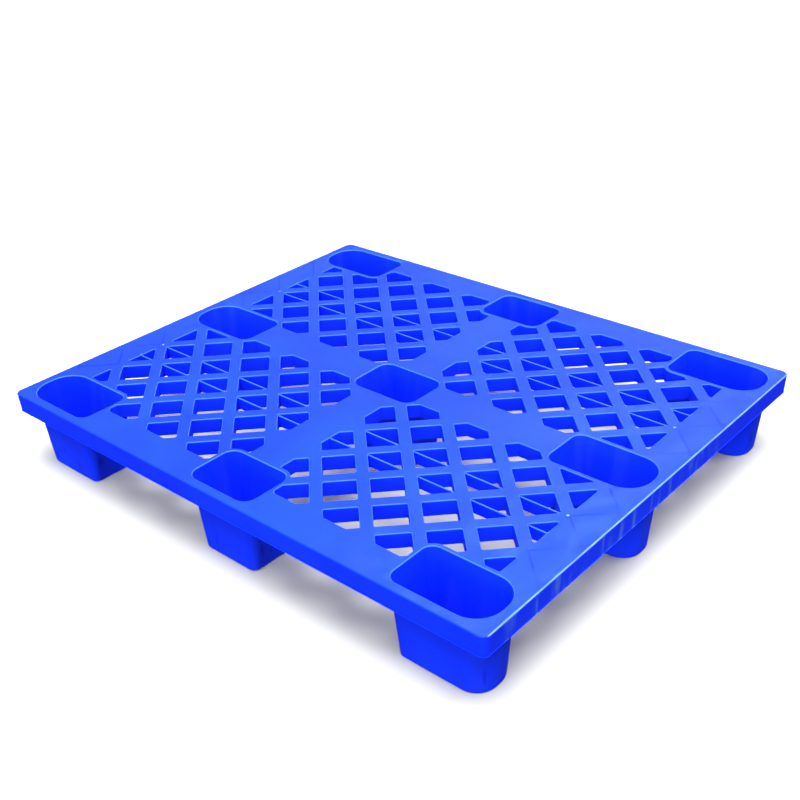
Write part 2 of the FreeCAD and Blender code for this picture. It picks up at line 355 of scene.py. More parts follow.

# %% [markdown]
# ### Marks on the deck
# Where a rib joins the plate from below, the plastic sinks a little as it cools. On the
# end borders this shows as faint dark lines that carry the lattice's bars on to the deck's
# edge. Goods slide on and off at the right end and leave it scraped, and the deck turns a
# little paler towards that end. A bright chip marks where each long rib ends at the
# lattice's frame. The lines are wrapped with a ping-pong, so that one node draws all of
# them, instead of one mask for each.

# %% Sunken lines
LINE_BLUE = (0.001, 0.008, 0.45, 1.0)
BAR_PERIOD = 83.0 * MM                      # one lattice bar to the next
LINE_HALF_WIDTH = 3.0 * MM
LINE_BORDER = (74 * MM, 70 * MM)            # in from the deck's end, where lines fade in
LINE_STRETCH = (66 * MM, 360 * MM)          # out from the deck's middle, between the pads
LINE_ENDS = 3 * MM
LINE_FADING = (0.30, 0.52)


def sunken_lines(tree, at):
    """Lines on the end borders, both ways across, that fade in and out."""
    beside = calc(tree, "ABSOLUTE", at["along"])
    border = product(
        tree, smooth_step(tree, at["edge_x"], *LINE_BORDER),
        band(tree, beside, *LINE_STRETCH, LINE_ENDS))
    lines = []
    for operation in ("ADD", "SUBTRACT"):
        turned = product(tree, calc(tree, operation, at["across"], at["along"]), math.sqrt(0.5))
        lines.append(line_field(tree, turned, BAR_PERIOD, LINE_HALF_WIDTH))
    fading = stretched_noise(tree, at["place"], EVEN, scale=9.0, detail=2.0)
    fading = smooth_step(tree, fading, *LINE_FADING)
    return product(tree, calc(tree, "MAXIMUM", *lines), border, at["deck"], fading)


print("lines every", BAR_PERIOD, "m")

# %% Scrapes and chips
# pale blue for scrapes and chips; the same blue paints the highlight along the shoulder and the
# reflections in the cups
PALE_WEAR_AND_HIGHLIGHT_BLUE = (0.22, 0.42, 0.92, 1.0)
ROW_PERIOD = BAR_PERIOD * math.sqrt(0.5)    # one lattice row to the next
USED_END = (0.12, 0.52)                     # from untouched plastic to the scraped end
SCRAPES = (0.40, 0.75)
SCRAPE_STRETCH = (3, 1.3, 1)
SCRAPE_PALE = 0.03
END_PALE = 0.012
CHIP_IN = 75.5 * MM                         # deck's end to a chip
CHIP_ROWS = (3, 4)                          # lattice rows that end in a chip
CHIP_RADII = (3.4 * MM, 1.8 * MM)
CHIP_PALE = 0.45


def scraped(tree, at, colour):
    """Pale streaks on the right end; returns the colour and the streaks."""
    used = product(tree, smooth_step(tree, at["across"], *USED_END), at["deck"])
    streaks = stretched_noise(
        tree, at["place"], SCRAPE_STRETCH, scale=12.0, detail=6.0, distortion=0.8)
    streaks = product(tree, smooth_step(tree, streaks, *SCRAPES), used)
    pale = calc(tree, "ADD", product(tree, streaks, SCRAPE_PALE), product(tree, used, END_PALE))
    return painted(tree, colour, pale, PALE_WEAR_AND_HIGHLIGHT_BLUE), streaks


def chipped(tree, at, colour):
    """A tiny bright chip at the end of each long rib."""
    for row in CHIP_ROWS:
        off_x = calc(tree, "SUBTRACT", at["edge_x"], CHIP_IN)
        off_y = calc(tree, "SUBTRACT", calc(tree, "ABSOLUTE", at["along"]), row * ROW_PERIOD)
        square = calc(tree, "ADD", product(tree, off_x, off_x), product(tree, off_y, off_y))
        chip = smooth_step(tree, calc(tree, "SQRT", square), *CHIP_RADII)
        colour = painted(tree, colour, product(tree, chip, at["deck"], CHIP_PALE), PALE_WEAR_AND_HIGHLIGHT_BLUE)
    return colour


print("chips", CHIP_IN, "m in, at rows", CHIP_ROWS)

# %% [markdown]
# ### Marks on the skirt and the legs
# The worn shoulder at each end gets a pale line along it, a painted highlight. Below it the
# skirt has upright smears of grime. The legs have short drag marks near their feet, from
# sliding into one another in a stack. All three are noise, drawn out upright for the smears
# and the drag marks: it's far quicker than modelling scratches, and no two legs look alike.

# %% Worn shoulder
SHOULDER_FACE = (2.6 * MM, 1.6 * MM)        # in from the deck's end
SHOULDER_HEIGHTS = (TOP - 2.4 * MM, TOP - 1.4 * MM)
# painted highlight along the shoulder: the part that comes and goes, and the part that runs all along
SHOULDER_HIGHLIGHT = (0.6, 0.05)                  # wear that comes and goes, and wear all along


# paints the highlight along the worn shoulder at each end
def shoulder_highlight(tree, at, colour):
    varied, steady = SHOULDER_HIGHLIGHT
    flicker = stretched_noise(tree, at["place"], EVEN, scale=30.0, detail=4.0)
    line = product(
        tree, smooth_step(tree, at["edge_x"], *SHOULDER_FACE),
        smooth_step(tree, at["height"], *SHOULDER_HEIGHTS),
        calc(tree, "ADD", product(tree, flicker, varied), steady))
    return painted(tree, colour, line, PALE_WEAR_AND_HIGHLIGHT_BLUE)


print("shoulder worn from", SHOULDER_HEIGHTS[1], "m up")

# %% Smears and drag marks
SMEAR_BLUE = (0.06, 0.15, 0.50, 1.0)
SKIRT_FACE = (3.6 * MM, 2.4 * MM)        # in from the deck's end
SMEARS = (0.50, 0.66)
SMEAR_PATCHES = (0.42, 0.56)
SMEAR_STRETCH = (1, 26, 5)
SMEAR_STRENGTH = 0.7
DRAG_MARKS = (0.63, 0.68)
DRAG_STRETCH = (1, 1, 0.15)
DRAG_HEIGHTS = (14 * MM, 52 * MM)
DRAG_SOFT = 8 * MM
DRAG_STRENGTH = 0.55


def smeared(tree, at, colour):
    """Upright smears on the end skirts; returns the colour and the smears."""
    upright = stretched_noise(
        tree, at["place"], SMEAR_STRETCH, scale=1.6, detail=4.0, distortion=0.4)
    patches = stretched_noise(tree, at["place"], EVEN, scale=5.0, detail=2.0)
    smears = product(
        tree, smooth_step(tree, upright, *SMEARS), smooth_step(tree, patches, *SMEAR_PATCHES),
        smooth_step(tree, at["edge_x"], *SKIRT_FACE))
    return painted(tree, colour, product(tree, smears, SMEAR_STRENGTH), SMEAR_BLUE), smears


def dragged(tree, at, colour):
    drag = stretched_noise(tree, at["place"], DRAG_STRETCH, scale=75.0, detail=1.0)
    low_leg = band(tree, at["height"], *DRAG_HEIGHTS, DRAG_SOFT)
    marks = product(tree, smooth_step(tree, drag, *DRAG_MARKS), low_leg)
    return painted(tree, colour, product(tree, marks, DRAG_STRENGTH), LINE_BLUE)


print("drag marks between", *DRAG_HEIGHTS, "m")

# %% [markdown]
# ### The inside of the cups
# The inside of each cup turns a deeper blue towards its floor, which is painted shade, and
# has faint pale upright streaks, which are painted reflections. Place alone can't tell the
# inner side of a wall from the outer one, 4 mm away. So each leg's mesh carries a number on
# its points, 1 on what faces inwards or up and 0 on the rest, and the finish reads it.

# %% Shade the cups
CUP_SHADE_BLUE = (0.0010, 0.006, 0.48, 1.0)
CUP_DEPTHS = (TOP - 10 * MM, TOP - 120 * MM)
CUP_SHADE = 0.65
CUP_REFLECTION_STREAKS = (0.52, 0.72)
CUP_STRETCH = (1, 1, 0.06)
CUP_REFLECTION = 0.02


# painted shade that deepens towards each cup's floor, and pale streaks of painted reflection on its
# walls
def cup_shade_and_reflections(tree, at, colour):
    inside = add(tree, "ShaderNodeAttribute", attribute_name="inside").outputs["Fac"]
    depth = smooth_step(tree, at["height"], *CUP_DEPTHS)
    colour = painted(tree, colour, product(tree, inside, depth, CUP_SHADE), CUP_SHADE_BLUE)
    streaks = stretched_noise(tree, at["place"], CUP_STRETCH, scale=26.0, detail=2.0)
    streaks = smooth_step(tree, streaks, *CUP_REFLECTION_STREAKS)
    return painted(tree, colour, product(tree, inside, streaks, CUP_REFLECTION), PALE_WEAR_AND_HIGHLIGHT_BLUE)


print("cups ready")

# %% [markdown]
# ### Surface
# Moulded polyethylene is satin: it shows a soft broad sheen and no clear mirror image. The
# roughness drifts a little and rises on scrapes and smears. A bump carries the fine grain,
# the gentle sinks and the sunken lines. Real displacement would cost millions of faces for
# a relief of hundredths of a millimetre, so a bump is the right tool here.

# %% Roughness and bump
SMOOTHEST = 0.30            # roughness where nothing rubs
SWIRLED = 0.14              # roughness that the swirls of the melt add
RUBBED = 0.2                # roughness that scrapes and smears add
GRAIN_RELIEF = 0.04
SINK_RELIEF = 0.10
LINE_RELIEF = 0.05


def satin(tree, at, shader, rubbed, lines):
    """Roughness and bump, with rubbed places rougher and lines sunk in."""
    swirls = stretched_noise(tree, at["place"], EVEN, scale=14.0, detail=5.0, distortion=2.5)
    rough = calc(tree, "ADD", product(tree, swirls, SWIRLED), SMOOTHEST)
    rough = calc(tree, "ADD", rough, product(tree, rubbed, RUBBED))
    fill(tree, shader.inputs["Roughness"], rough)
    grain = stretched_noise(tree, at["place"], EVEN, scale=900.0, detail=2.0)
    sink = stretched_noise(tree, at["place"], EVEN, scale=18.0, detail=2.0)
    heights = calc(
        tree, "ADD", product(tree, grain, GRAIN_RELIEF), product(tree, sink, SINK_RELIEF))
    heights = calc(tree, "SUBTRACT", heights, product(tree, lines, LINE_RELIEF))
    bump = add(tree, "ShaderNodeBump", {"Height": heights, "Strength": 0.35, "Distance": 0.8 * MM})
    fill(tree, shader.inputs["Normal"], bump.outputs["Normal"])


print("roughness from", SMOOTHEST, "up")

# %% Put the plastic together
LINE_DARKNESS = 0.75


def moulded_plastic():
    material = bpy.data.materials.new("moulded_blue_polyethylene")
    material.use_nodes = True
    tree = material.node_tree
    shader = tree.nodes["Principled BSDF"]
    shader.inputs["IOR"].default_value = 1.5
    shader.inputs["Specular IOR Level"].default_value = 0.32
    at = places(tree)
    lines = sunken_lines(tree, at)
    colour = rim_highlights(tree, at, clouded(tree, at))
    colour = painted(tree, colour, product(tree, lines, LINE_DARKNESS), LINE_BLUE)
    colour, streaks = scraped(tree, at, colour)
    colour = shoulder_highlight(tree, at, chipped(tree, at, colour))
    colour, smears = smeared(tree, at, colour)
    colour = cup_shade_and_reflections(tree, at, dragged(tree, at, colour))
    fill(tree, shader.inputs["Base Color"], colour)
    satin(tree, at, shader, calc(tree, "ADD", streaks, smears), lines)
    return material


plastic = moulded_plastic()
print("material", plastic.name, "with", len(plastic.node_tree.nodes), "nodes")

# %% [markdown]
# ## Finishing a piece
# A real moulding has no knife edges. Where two broad faces meet in a small round, the round
# should take all of the change in shading, and the faces should stay flat. Weighted normals
# do that: each point takes its direction from the largest face beside it. Modifiers are then
# turned into a plain mesh, so that the finished piece is exactly what is seen.

# %% Finish a piece
SHARP = math.radians(40.0)
BROAD_FACES = 80            # how strongly broad faces lead the shading


def plain(piece):
    """Swap a piece's mesh for its finished shape and drop the modifiers."""
    graph = bpy.context.evaluated_depsgraph_get()
    mesh = bpy.data.meshes.new_from_object(
        piece.evaluated_get(graph), preserve_all_data_layers=True, depsgraph=graph)
    mesh.name = piece.name
    piece.modifiers.clear()
    piece.data = mesh


def finish_piece(piece, *nodes):
    """Shade a piece, give it the plastic and let it stand for measured nodes."""
    piece.data.shade_smooth()
    piece.data.set_sharp_from_angle(angle=SHARP)
    weighted = piece.modifiers.new("broad faces lead", "WEIGHTED_NORMAL")
    weighted.keep_sharp = True
    weighted.weight = BROAD_FACES
    plain(piece)
    if not piece.data.materials:
        piece.data.materials.append(plastic)
    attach(piece, "root")
    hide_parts(*nodes)
    print(piece.name, "faces", len(piece.data.polygons))


print("edges sharper than", round(math.degrees(SHARP)), "degrees stay sharp")

# %% [markdown]
# ## Hollow legs
# Each leg is a cup that hangs from the deck: a rounded rim, a wall that leans in so that
# another pallet's leg drops into it, a flat floor with a drain hole, and a rounded foot.
# One closed section is walked round the mouth, so the wall keeps its thickness everywhere.
# The end legs have wide corners on the side that faces the deck's end.

# %% Sizes of a leg
RIM_RADIUS = 2.5 * MM
LEG_WALL = 4.0 * MM
FOOT_INSET = 14.0 * MM
FLOOR = 4.0 * MM
FLOOR_FILLET = 3.0 * MM
FOOT_RADIUS = 4.5 * MM
DRAIN_RADIUS = 6.0 * MM
END_INNER_RADIUS = 22.0 * MM
END_OUTER_RADIUS = 50.0 * MM
MIDDLE_RADIUS = 25.0 * MM
INNER_FOOT = (-FOOT_INSET, FLOOR)
OUTER_FOOT = (LEG_WALL - FOOT_INSET, 0.0)
OUTER_TOP = (LEG_WALL - FOOT_INSET * PLATE / TOP, UNDER_PLATE)
print("a leg leans in", round(math.degrees(math.atan(FOOT_INSET / TOP)), 1), "degrees")

# %% Corners of a leg and its pad
def corner_radii(column):
    """Radii of a mouth's four corners: right front, right back, left back, left front."""
    if column == "centre":
        return (MIDDLE_RADIUS,) * 4
    right = END_OUTER_RADIUS if column == "right" else END_INNER_RADIUS
    left = END_OUTER_RADIUS if column == "left" else END_INNER_RADIUS
    return (right, right, left, left)


def pad_radii(row, column, radii):
    """Radii of the deck pad: square where it meets the edge of the deck."""
    at_right, at_left = column == "right", column == "left"
    at_front, at_back = row == "front", row == "back"
    square = (at_right or at_front, at_right or at_back, at_left or at_back, at_left or at_front)
    return tuple(0.0 if flat else radius + PAD_MARGIN for flat, radius in zip(square, radii))


print("corners of a left mouth:", corner_radii("left"))

# %% Make the nine legs
LOOKS_UP = 0.5              # a face or a point whose direction rises more than this


def section_rows(mouth, radii, points):
    """Outlines for points (out, z) of a section that is walked round a mouth."""
    return [outline(grown(mouth, out), [radius + out for radius in radii], z)
            for out, z in points]


def mark_inside(piece, centre):
    """Number the points for the finish: 1 where they face the cup's middle or look up."""
    inside = piece.data.attributes.new("inside", "FLOAT", "POINT")
    for point, mark in zip(piece.data.vertices, inside.data):
        inwards = point.normal.xy.dot(Vector(centre) - point.co.xy) > 0
        mark.value = 1.0 if inwards or point.normal.z > LOOKS_UP else 0.0


def leg(row, column):
    name = "leg_{}_{}".format(row, column)
    pad = span(name)
    mouth = grown(pad, -PAD_MARGIN)
    radii = corner_radii(column)
    edge = pad_radii(row, column, radii)
    centre = ((mouth[0] + mouth[1]) / 2, (mouth[2] + mouth[3]) / 2)
    drain = grown((centre[0], centre[0], centre[1], centre[1]), DRAIN_RADIUS)
    rim = rounded((LEG_WALL, TOP), (0.0, TOP), INNER_FOOT, RIM_RADIUS)
    floor = rounded((0.0, TOP), INNER_FOOT, (FAR_IN, FLOOR), FLOOR_FILLET)
    foot = rounded((FAR_IN, 0.0), OUTER_FOOT, OUTER_TOP, FOOT_RADIUS)
    rows = [outline(pad, edge, UNDER_PLATE), outline(pad, edge, TOP)]
    rows += section_rows(mouth, radii, rim + floor)
    rows += [outline(drain, (DRAIN_RADIUS,) * 4, z) for z in (FLOOR, 0.0)]
    rows += section_rows(mouth, radii, foot + [OUTER_TOP])
    piece = loft("cup_leg_{}_{}".format(row, column), rows)
    mark_inside(piece, centre)
    finish_piece(piece, name)


for row in ("front", "middle", "back"):
    for column in ("left", "centre", "right"):
        leg(row, column)

# %% [markdown]
# ## The edge of the deck
# The deck ends in a rounded shoulder and a skirt that leans in a little, so that the mould
# can open. Four straight rails would show joints at the corners. One loft that goes right
# round the deck gives the skirt and its small corners in a single skin.

# %% Make the edge
SKIRT_DEPTH = 41.0 * MM
SKIRT_WALL = 3.5 * MM
SKIRT_LEAN = math.tan(math.radians(1.5))
SHOULDER = 3.0 * MM
SHOULDER_STEPS = 6
LIP = 1.0 * MM              # round on both sides of the skirt's foot
LIP_STEPS = 3
DECK_CORNER = 15.0 * MM


def skirt_point(z, wall=0.0):
    return (-wall - (TOP - SHOULDER - z) * SKIRT_LEAN, z)


deck_box = (-HALF_X, HALF_X, -HALF_Y, HALF_Y)
rail = span("leg_back_right")
flange = (-rail[1], rail[1], -rail[3], rail[3])
skirt_foot = TOP - SKIRT_DEPTH
outer_top, outer_foot = skirt_point(TOP), skirt_point(skirt_foot)
inner_top, inner_foot = skirt_point(UNDER_PLATE, SKIRT_WALL), skirt_point(skirt_foot, SKIRT_WALL)
foot_out = rounded(outer_top, outer_foot, inner_foot, LIP, LIP_STEPS)
shoulder = rounded(outer_foot, outer_top, (FAR_IN, TOP), SHOULDER, SHOULDER_STEPS)
foot_in = rounded(outer_foot, inner_foot, inner_top, LIP, LIP_STEPS)
corners = (DECK_CORNER,) * 4
edge_rows = section_rows(deck_box, corners, foot_out + shoulder)
edge_rows += [outline(flange, (0.0,) * 4, z) for z in (TOP, UNDER_PLATE)]
edge_rows += section_rows(deck_box, corners, [inner_top] + foot_in)
finish_piece(loft("deck_edge", edge_rows), "edge_rail_front", "edge_rail_back",
             "edge_rail_left", "edge_rail_right")

# %% [markdown]
# ## The lattice windows
# Each window is a field of square openings turned on their corners, with a thin wall that
# hangs round every opening. Cutting holes one by one would take hundreds of steps, and the
# openings at the window's edge are clipped by the frame and by the legs' pads. Geometry
# Nodes state the rule once: a chequered field of squares, clipped, with rounded corners,
# and one section that is walked down into each opening and up outside its wall.

# %% [markdown]
# ### Blocks, outlines and booleans as nodes
# The rule is stated with flat shapes: a window, four pads and a field of squares. Booleans
# need closed bodies, so each flat shape is a thin block while it is cut, and only its upper
# faces are kept afterwards. Their open edges then become curves, which can be rounded.

# %% Node parts: inputs and blocks
def group_input(tree, kinds):
    """Named inputs, in order, and the node that hands them out."""
    for name, kind in kinds:
        tree.interface.new_socket(name=name, in_out="INPUT", socket_type="NodeSocket" + kind)
    return add(tree, "NodeGroupInput").outputs


def slab(tree, low, high, thickness):
    """A block between two corners seen from above, centred on z = 0."""
    size = vector_calc(tree, "ADD", vector_calc(tree, "SUBTRACT", high, low), (0, 0, thickness))
    middle = vector_calc(tree, "SCALE", vector_calc(tree, "ADD", low, high))
    middle.node.inputs["Scale"].default_value = 0.5
    cube = add(tree, "GeometryNodeMeshCube", {"Size": size})
    moved = add(tree, "GeometryNodeTransform", {
        "Geometry": cube.outputs["Mesh"], "Translation": middle})
    return moved.outputs["Geometry"]


def boolean(tree, operation, first, *others):
    node = add(tree, "GeometryNodeMeshBoolean", operation=operation, solver="EXACT")
    if operation == "DIFFERENCE":
        fill(tree, node.inputs["Mesh 1"], first)
    else:
        others = (first,) + others
    for other in others:
        tree.links.new(other, node.inputs["Mesh 2"])
    return node.outputs["Mesh"]


print("blocks and booleans ready")

# %% Node parts: faces
def upper_faces(tree, mesh):
    """Only the faces that look up."""
    normal = add(tree, "GeometryNodeInputNormal").outputs[0]
    up = add(tree, "ShaderNodeSeparateXYZ", {"Vector": normal}).outputs["Z"]
    kept = add(tree, "GeometryNodeSeparateGeometry", {
        "Geometry": mesh, "Selection": calc(tree, "GREATER_THAN", up, LOOKS_UP)}, domain="FACE")
    return kept.outputs["Selection"]


def extruded(tree, mesh, offset, chosen=True):
    """Faces moved by an offset, with sides; returns the mesh, its moved faces and its sides."""
    node = add(tree, "GeometryNodeExtrudeMesh", {
        "Mesh": mesh, "Selection": chosen, "Offset": offset, "Offset Scale": 1.0,
        "Individual": True}, mode="FACES")
    return node.outputs["Mesh"], node.outputs["Top"], node.outputs["Side"]


print("faces can be picked and extruded")

# %% Node parts: outlines
MERGE = 0.02 * MM


def rim_curve(tree, mesh):
    """The open edges of flat faces, as curves."""
    count = add(tree, "GeometryNodeInputMeshEdgeNeighbors").outputs["Face Count"]
    alone = calc(tree, "LESS_THAN", count, 1.5)
    return add(tree, "GeometryNodeMeshToCurve", {"Mesh": mesh, "Selection": alone}).outputs["Curve"]


def filled(tree, mode, *curves):
    line = joined(tree, *curves)
    return add(tree, "GeometryNodeFillCurve", {"Curve": line}, mode=mode).outputs["Mesh"]


def joined(tree, *parts):
    join = add(tree, "GeometryNodeJoinGeometry")
    for part in parts:
        tree.links.new(part, join.inputs["Geometry"])
    return join.outputs["Geometry"]


def merged(tree, mesh):
    node = add(tree, "GeometryNodeMergeByDistance", {"Geometry": mesh, "Distance": MERGE})
    return node.outputs["Geometry"]


def placed(tree, mesh, position, chosen=True):
    """Points moved to a position."""
    node = add(tree, "GeometryNodeSetPosition", {
        "Geometry": mesh, "Selection": chosen, "Position": position})
    return node.outputs["Geometry"]


print("points closer than", MERGE, "m are merged")

# %% [markdown]
# ### Growing an outline
# The wall round an opening is the opening's outline grown by the wall's thickness, and the
# rounded rim is the same outline grown by a little less at each step. Scaling would not do,
# because a clipped opening isn't round. Each corner is moved aside from its two edges, and
# further where they bend more, so the distance stays the same all the way round. The
# direction and the start are remembered on the points for the steps that follow.

# %% Node parts: growing an outline
def here(tree):
    return add(tree, "GeometryNodeInputPosition").outputs[0]


def directions(tree):
    """Directions of the edges that reach and leave each point of a flat face."""
    position = here(tree)
    corner = add(tree, "GeometryNodeCornersOfVertex").outputs["Corner Index"]
    found = []
    for step in (-1, 1):
        beside = add(tree, "GeometryNodeOffsetCornerInFace", {"Corner Index": corner, "Offset": step})
        point = add(tree, "GeometryNodeVertexOfCorner", {"Corner Index": beside.outputs[0]})
        place = add(tree, "GeometryNodeFieldAtIndex", {"Index": point.outputs[0], "Value": position},
                    domain="POINT", data_type="FLOAT_VECTOR").outputs[0]
        start, end = (place, position) if step < 0 else (position, place)
        found.append(vector_calc(tree, "NORMALIZE", vector_calc(tree, "SUBTRACT", end, start)))
    return found


def outward(tree):
    """How far each point of a flat face moves when its outline grows by one."""
    reach, leave = directions(tree)
    ahead = vector_calc(tree, "NORMALIZE", vector_calc(tree, "ADD", reach, leave))
    aside = vector_calc(tree, "CROSS_PRODUCT", ahead, (0, 0, 1))
    spread = calc(tree, "DIVIDE", 1.0, vector_calc(tree, "DOT_PRODUCT", ahead, leave))
    moved = vector_calc(tree, "SCALE", aside)
    fill(tree, moved.node.inputs["Scale"], spread)
    return moved


print("outward directions ready")

# %% Node parts: remember and grow
def remember(tree, mesh, name, value, kind="FLOAT_VECTOR"):
    node = add(tree, "GeometryNodeStoreNamedAttribute", {
        "Geometry": mesh, "Name": name, "Value": value}, domain="POINT", data_type=kind)
    return node.outputs["Geometry"]


def recall(tree, name, kind="FLOAT_VECTOR"):
    return add(tree, "GeometryNodeInputNamedAttribute", {"Name": name}, data_type=kind).outputs[0]


def ready_to_grow(tree, mesh):
    """Remember the outline and its outward directions on the points."""
    mesh = remember(tree, mesh, "aside", outward(tree))
    return remember(tree, mesh, "line", here(tree))


def grown_place(tree, out, z):
    """The remembered outline, grown by a distance and lifted to a height."""
    aside = vector_calc(tree, "SCALE", recall(tree, "aside"))
    fill(tree, aside.node.inputs["Scale"], out)
    lift = add(tree, "ShaderNodeCombineXYZ", {"Z": z}).outputs[0]
    return vector_calc(tree, "ADD", vector_calc(tree, "ADD", recall(tree, "line"), aside), lift)


print("outlines can grow")

# %% [markdown]
# ### A chequered field of clipped squares
# The squares stand on every second point of a plain grid, like the dark fields of a
# chessboard. The window clips them, and so do the pads with a collar round them. Corners
# are rounded only where the outline really bends, so a pad's curved side stays as it is.
# Scraps that are too small for a moulder to bother with stay solid.

# %% Node steps: the openings
THIN = 0.02                 # thickness of the blocks that are cut
CLEAR_TURN = math.cos(math.radians(20.0))
CORNER_POINTS = 4


def thick_pads(tree, pads, out):
    """The pads as blocks twice as thick as those they cut, grown by a distance."""
    base = placed(tree, pads, grown_place(tree, out, -THIN))
    body, _, _ = extruded(tree, base, (0, 0, 2 * THIN))
    below = add(tree, "GeometryNodeFlipFaces", {"Mesh": base}).outputs[0]
    return merged(tree, joined(tree, below, body))


def chequered_squares(tree, given):
    columns, rows, step = given["Columns"], given["Rows"], given["Step"]
    half_step = product(tree, step, 0.5)
    grid = add(tree, "GeometryNodeMeshGrid", {
        "Size X": product(tree, calc(tree, "SUBTRACT", columns, 1), step),
        "Size Y": product(tree, calc(tree, "SUBTRACT", rows, 1), step),
        "Vertices X": columns, "Vertices Y": rows})
    middle = add(tree, "ShaderNodeCombineXYZ", {
        "X": product(tree, calc(tree, "ADD", columns, 1), half_step),
        "Y": product(tree, calc(tree, "ADD", rows, 1), half_step)})
    field = add(tree, "GeometryNodeTransform", {
        "Geometry": grid.outputs["Mesh"], "Translation": middle.outputs[0]})
    axes = add(tree, "ShaderNodeSeparateXYZ", {"Vector": here(tree)})
    count = calc(tree, "DIVIDE", calc(tree, "ADD", axes.outputs["X"], axes.outputs["Y"]), step)
    odd = calc(tree, "GREATER_THAN", calc(tree, "MODULO", calc(tree, "ROUND", count), 2.0), 0.5)
    square = add(tree, "GeometryNodeMeshCylinder", {
        "Vertices": 4, "Radius": calc(tree, "DIVIDE", given["Opening side"], math.sqrt(2)),
        "Depth": THIN / 2}, fill_type="NGON")
    squares = add(tree, "GeometryNodeInstanceOnPoints", {
        "Points": field.outputs[0], "Selection": odd, "Instance": square.outputs["Mesh"]})
    return add(tree, "GeometryNodeRealizeInstances", {"Geometry": squares.outputs[0]}).outputs[0]


print("blocks", THIN, "m thick are cut")

# %% Node steps: clip and round the openings
def clipped_openings(tree, given, pads):
    window = slab(tree, given["Window low"], given["Window high"], THIN)
    clipped = boolean(tree, "INTERSECT", chequered_squares(tree, given), window)
    clipped = boolean(tree, "DIFFERENCE", clipped, thick_pads(tree, pads, given["Collar"]))
    reach, leave = directions(tree)
    bend = calc(tree, "LESS_THAN", vector_calc(tree, "DOT_PRODUCT", reach, leave), CLEAR_TURN)
    radius = product(tree, bend, given["Opening corner"])
    clipped = remember(tree, upper_faces(tree, clipped), "round", radius, "FLOAT")
    soft = add(tree, "GeometryNodeFilletCurve", {
        "Curve": rim_curve(tree, clipped), "Count": CORNER_POINTS, "Limit Radius": True,
        "Radius": recall(tree, "round", "FLOAT")}, mode="POLY")
    area = add(tree, "GeometryNodeInputMeshFaceArea").outputs[0]
    kept = add(tree, "GeometryNodeSeparateGeometry", {
        "Geometry": filled(tree, "NGONS", soft.outputs[0]),
        "Selection": calc(tree, "GREATER_THAN", area, given["Smallest opening"])}, domain="FACE")
    return ready_to_grow(tree, kept.outputs["Selection"])


print("corners rounded in", CORNER_POINTS, "steps")

# %% [markdown]
# ### Walls and plate
# One section is walked through every opening at the same time: round the rim, down to the
# wall's foot, out by the wall's thickness and up again to the plate. Each step extrudes the
# face of the opening by nothing and then moves it, and the last face is thrown away, so
# the opening stays open. The plate is filled between the window's outline and the rims.

# %% Node steps: the walls
RIM_STEPS = 4


def wall_section(tree, given):
    """Pairs (out, z) from the deck round the rim, down the opening and up its wall."""
    top, rim, wall = given["Top"], given["Rim"], given["Wall"]
    section = []
    for number in range(RIM_STEPS + 1):
        angle = math.radians(90.0 * number / RIM_STEPS)
        drop = product(tree, rim, 1 - math.cos(angle))
        section.append((product(tree, rim, 1 - math.sin(angle)), calc(tree, "SUBTRACT", top, drop)))
    foot = calc(tree, "SUBTRACT", top, given["Depth"])
    under = calc(tree, "SUBTRACT", top, given["Plate"])
    return section + [(0.0, foot), (wall, foot), (wall, under)]


def walled(tree, openings, section):
    """The section walked round every opening; returns the walls and their upper outlines."""
    walls = placed(tree, openings, grown_place(tree, *section[0]))
    upper_lines = rim_curve(tree, walls)
    moved = True
    for out, z in section[1:]:
        walls, moved, _ = extruded(tree, walls, (0, 0, 0), moved)
        walls = placed(tree, walls, grown_place(tree, out, z), moved)
    walls = add(tree, "GeometryNodeDeleteGeometry", {
        "Geometry": walls, "Selection": moved}, domain="FACE", mode="ONLY_FACE").outputs[0]
    return walls, upper_lines


print("rim in", RIM_STEPS, "steps")

# %% Node steps: the plate
def level(tree, mesh, z):
    """A flat shape laid level at a height."""
    height = add(tree, "ShaderNodeCombineXYZ", {"Z": z}).outputs[0]
    flat = vector_calc(tree, "MULTIPLY", here(tree), (1, 1, 0))
    return placed(tree, mesh, vector_calc(tree, "ADD", flat, height))


def plate(tree, given, panel_line, upper_lines, lower_lines):
    """The plate's upper face, lower face and outer edge."""
    under = calc(tree, "SUBTRACT", given["Top"], given["Plate"])
    upper = level(tree, filled(tree, "TRIANGLES", panel_line, upper_lines), given["Top"])
    lower = level(tree, filled(tree, "TRIANGLES", panel_line, lower_lines), under)
    lower = add(tree, "GeometryNodeFlipFaces", {"Mesh": lower}).outputs[0]
    blank = level(tree, filled(tree, "NGONS", panel_line), under)
    lift = add(tree, "ShaderNodeCombineXYZ", {"Z": given["Plate"]}).outputs[0]
    edge, _, side = extruded(tree, blank, lift)
    edge = add(tree, "GeometryNodeSeparateGeometry", {
        "Geometry": edge, "Selection": side}, domain="FACE").outputs["Selection"]
    return upper, lower, edge


print("plate ready")

# %% [markdown]
# ### The whole tree
# The named inputs are the numbers that a moulder's drawing gives, so one tree serves all
# four windows. A window on the left or in front is the back right window mirrored. A
# mirror turns faces inside out, so they are flipped where only one axis is mirrored.

# %% Inputs of the lattice tree
INPUTS = (
    ("Pads", "Geometry"), ("Step", "Float"), ("Opening side", "Float"),
    ("Columns", "Int"), ("Rows", "Int"), ("Opening corner", "Float"),
    ("Smallest opening", "Float"), ("Rim", "Float"), ("Collar", "Float"), ("Wall", "Float"),
    ("Depth", "Float"), ("Plate", "Float"), ("Top", "Float"),
    ("Window low", "Vector"), ("Window high", "Vector"),
    ("Panel low", "Vector"), ("Panel high", "Vector"),
    ("Mirror", "Vector"), ("Inside out", "Bool"), ("Plastic", "Material"))
print("the tree takes", len(INPUTS), "inputs")

